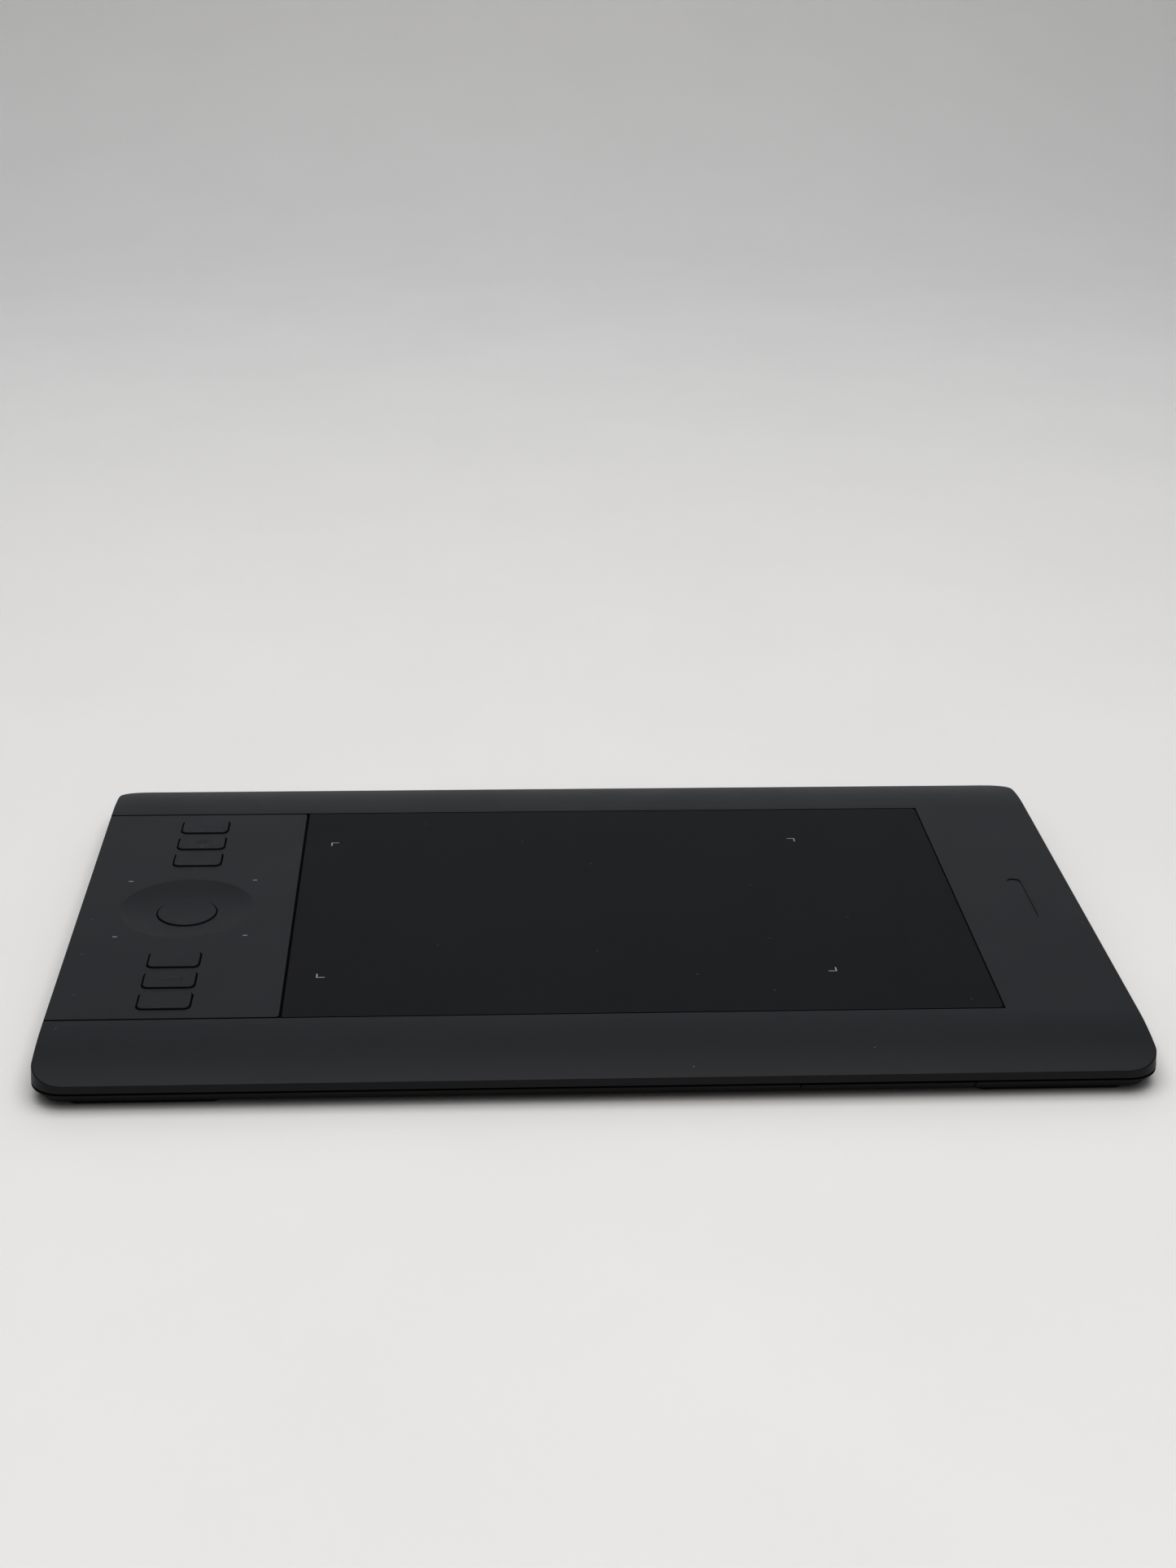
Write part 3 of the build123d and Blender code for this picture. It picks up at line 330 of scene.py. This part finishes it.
def block(form, low, high, bevel):
    """Adds a box between two corners, in metres, with rounded edges."""
    low = Vector(low)
    high = Vector(high)
    made = bmesh.ops.create_cube(form, size=1.0)
    bmesh.ops.scale(form, vec=high - low, verts=made["verts"])
    bmesh.ops.translate(form, vec=(low + high) / 2, verts=made["verts"])
    edges = list({edge for vert in made["verts"] for edge in vert.link_edges})
    bmesh.ops.bevel(
        form, geom=edges, offset=bevel, segments=2, profile=0.5, affect="EDGES", material=-1,
    )


def make_piece(name, form, material, body):
    """Turns a bmesh into a named piece that rides on a body."""
    mesh = bpy.data.meshes.new(name)
    bmesh.ops.recalc_face_normals(form, faces=form.faces[:])
    form.to_mesh(mesh)
    form.free()
    piece = bpy.data.objects.new(name, mesh)
    bpy.context.scene.collection.objects.link(piece)
    mesh.materials.append(material)
    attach(piece, body)


def make_inlet_contacts():
    """Five gold strips under the inlet's tongue."""
    low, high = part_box("usb_tongue")
    count = 5
    pitch = 0.65 * MM
    width = 0.35 * MM
    thick = 0.05 * MM
    behind_tip = 0.3 * MM
    form = bmesh.new()
    for number in range(count):
        y = (low.y + high.y) / 2 + (number - (count - 1) / 2) * pitch
        tip = (low.x + behind_tip, y - width / 2, low.z - thick)
        block(form, tip, (high.x, y + width / 2, low.z), thick / 5)
    make_piece("inlet_contacts", form, gold_flash, "case")


def make_label(name, size, centre, z, material):
    """A thin blank label with rounded corners, stuck to a downward face of the case at height z."""
    thick = 0.06 * MM
    corner = 1.2 * MM
    width, depth = size
    form = bmesh.new()
    made = bmesh.ops.create_cube(form, size=1.0)
    bmesh.ops.scale(form, vec=(width, depth, thick), verts=made["verts"])
    bmesh.ops.translate(form, vec=(centre[0], centre[1], z - thick / 2), verts=made["verts"])
    upright = [e for e in form.edges if abs(e.verts[0].co.z - e.verts[1].co.z) > thick / 2]
    bmesh.ops.bevel(
        form, geom=upright, offset=corner, segments=4, profile=0.5, affect="EDGES", material=-1,
    )
    make_piece(name, form, material, "case")


def make_battery_dressing():
    """Blank label and pull tab on the battery, seen once its door is off."""
    low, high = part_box("battery_pack")
    centre = (low + high) / 2
    size = (28 * MM, 18 * MM)
    make_label("battery_label", size, (centre.x, centre.y), low.z, label_film)
    tab_x = centre.x + 15 * MM
    tab_width = 4.0 * MM
    tab_thick = 0.1 * MM
    tab_under = 0.02 * MM
    form = bmesh.new()
    block(
        form,
        (tab_x, low.y + 2 * MM, low.z - tab_under - tab_thick),
        (tab_x + tab_width, high.y - 6 * MM, low.z - tab_under),
        0.3 * tab_thick,
    )
    make_piece("battery_pull_tab", form, polyimide, "case")


def make_module_dressing():
    """Blank label on the wireless module."""
    low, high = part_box("wireless_module")
    centre = (low + high) / 2
    size = (18 * MM, 10 * MM)
    make_label("module_label", size, (centre.x, centre.y), low.z, label_film)


def make_rating_plate():
    """Blank label film on the underside."""
    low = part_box("bottom_shell")[0]
    size = (70 * MM, 32 * MM)
    make_label("rating_plate", size, (-40 * MM, 0.0), low.z, grey_label_film)


def make_door_arrow(door, way):
    """A plain raised triangle that points the way the door slides: -1 to the front, 1 to the rear."""
    low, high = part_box(door)
    root = 2.6 * MM
    top = 2.4 * MM
    thick = 0.2 * MM
    proud = 0.15 * MM
    from_middle = 8 * MM
    form = bmesh.new()
    made = bmesh.ops.create_cone(
        form, cap_ends=True, segments=3, radius1=root, radius2=top, depth=thick,
    )
    turn = Matrix.Rotation(math.radians(90 * way), 3, "Z")
    bmesh.ops.rotate(form, verts=made["verts"], cent=(0, 0, 0), matrix=turn)
    y = (low.y + high.y) / 2 + way * from_middle
    z = low.z + thick / 2 - proud
    bmesh.ops.translate(form, verts=made["verts"], vec=((low.x + high.x) / 2, y, z))
    make_piece(f"{door}_arrow", form, eroded_abs, door)


# Stage, light and camera --------------------------------------------------------------------------

def make_floor():
    """A pale paper sweep, curved up far behind the tablet."""
    half = 4.0
    bend_y = 1.1
    bend_radius = 0.5
    wall = 1.5
    form = bmesh.new()
    near = [form.verts.new((x, -half, 0.0)) for x in (-half, half)]
    line = form.edges.new(near)
    moved = bmesh.ops.extrude_edge_only(form, edges=[line])["geom"]
    far = [part for part in moved if isinstance(part, bmesh.types.BMVert)]
    bmesh.ops.translate(form, verts=far, vec=(0.0, half + bend_y, 0.0))
    far_edge = [part for part in moved if isinstance(part, bmesh.types.BMEdge)]
    bent = bmesh.ops.spin(
        form, geom=far + far_edge, cent=(0.0, bend_y, bend_radius), axis=(1, 0, 0),
        dvec=(0, 0, 0), angle=math.pi / 2, steps=24,
    )["geom_last"]
    top_edge = [part for part in bent if isinstance(part, bmesh.types.BMEdge)]
    raised = bmesh.ops.extrude_edge_only(form, edges=top_edge)["geom"]
    top = [part for part in raised if isinstance(part, bmesh.types.BMVert)]
    bmesh.ops.translate(form, verts=top, vec=(0.0, 0.0, wall))
    mesh = bpy.data.meshes.new("floor")
    form.to_mesh(mesh)
    form.free()
    mesh.shade_smooth()
    floor = bpy.data.objects.new("floor", mesh)
    bpy.context.scene.collection.objects.link(floor)
    material, tree, output = new_material("matt_paper_sweep")
    place = add_node(tree, "ShaderNodeTexCoord").outputs["Object"]
    smudge = add_node(tree, "ShaderNodeTexNoise", {"Vector": place, "Scale": 9.0, "Detail": 5.0})
    tone = add_node(
        tree, "ShaderNodeValToRGB", {"Fac": smudge.outputs["Fac"]},
        [(0.3, to_linear("#E8E6E3")), (0.7, to_linear("#EAE8E5"))],
    )
    shader = add_node(
        tree, "ShaderNodeBsdfPrincipled", {"Base Color": tone.outputs["Color"], "Roughness": 0.7},
    )
    tree.links.new(shader.outputs["BSDF"], output.inputs["Surface"])
    mesh.materials.append(material)


def add_softbox(name, place, target, size, power, colour="#FFFFFF"):
    """A rectangular soft light aimed at a point; the camera doesn't see it."""
    light = bpy.data.lights.new(name, "AREA")
    light.shape = "RECTANGLE"
    light.size = size[0]
    light.size_y = size[1]
    light.energy = power
    light.color = to_linear(colour)[:3]
    lamp = bpy.data.objects.new(name, light)
    bpy.context.scene.collection.objects.link(lamp)
    lamp.location = place
    lamp.rotation_euler = (Vector(target) - Vector(place)).to_track_quat("-Z", "Y").to_euler()
    lamp.visible_camera = False


def make_light():
    """A wide overhead softbox, and one behind and in front; the room is dimmer in front."""
    add_softbox("overhead_softbox", (0.0, -0.25, 1.5), (0.0, -0.25, 0.0), (1.8, 2.2), 26.0)
    add_softbox("rear_softbox", (0.0, 1.45, 0.75), (0.0, 0.0, 0.2), (2.6, 1.4), 5.7, "#E9F1FF")
    add_softbox("front_softbox", (0.0, -1.45, 0.75), (0.0, 0.0, 0.2), (2.6, 1.4), 4.5)
    world = bpy.data.worlds.new("room")
    bpy.context.scene.world = world
    world.use_nodes = True
    tree = world.node_tree
    tree.nodes.clear()
    towards = add_node(tree, "ShaderNodeTexCoord").outputs["Generated"]
    split = add_node(tree, "ShaderNodeSeparateXYZ", {"Vector": towards})
    along = add_node(
        tree, "ShaderNodeMapRange", {"Value": split.outputs["Y"], "From Min": -1.0, "From Max": 1.0},
    )
    tone = add_node(
        tree, "ShaderNodeValToRGB", {"Fac": along.outputs["Result"]},
        [(0.15, to_linear("#48494B")), (0.85, to_linear("#A8ABB0"))],
    )
    room = add_node(tree, "ShaderNodeBackground", {"Color": tone.outputs["Color"], "Strength": 1.0})
    output = tree.nodes.new("ShaderNodeOutputWorld")
    tree.links.new(room.outputs["Background"], output.inputs["Surface"])


def make_camera():
    """A camera a little left of the middle, looking down over the front edge."""
    view = bpy.data.cameras.new("camera")
    camera = bpy.data.objects.new("camera", view)
    bpy.context.scene.collection.objects.link(camera)
    azimuth = math.radians(3.33)
    elevation = math.radians(22.90)
    roll = math.radians(0.81)
    turn = Matrix.Rotation(-azimuth, 3, "Z") @ Matrix.Rotation(math.pi / 2 - elevation, 3, "X")
    turn = turn @ Matrix.Rotation(roll, 3, "Z")
    camera.matrix_world = Matrix.Translation((-38.6 * MM, -677.5 * MM, 340.1 * MM)) @ turn.to_4x4()
    view.sensor_width = 36.0
    view.lens = 53.99
    view.clip_start = 0.01
    bpy.context.scene.camera = camera


finish_nodes()
make_inlet_contacts()
make_battery_dressing()
make_module_dressing()
make_rating_plate()
make_door_arrow("battery_door", -1)
make_door_arrow("module_door", 1)
make_floor()
make_light()
make_camera()
bpy.context.scene.view_settings.view_transform = "Standard"
# Deepens the blacks
bpy.context.scene.view_settings.gamma = 0.70
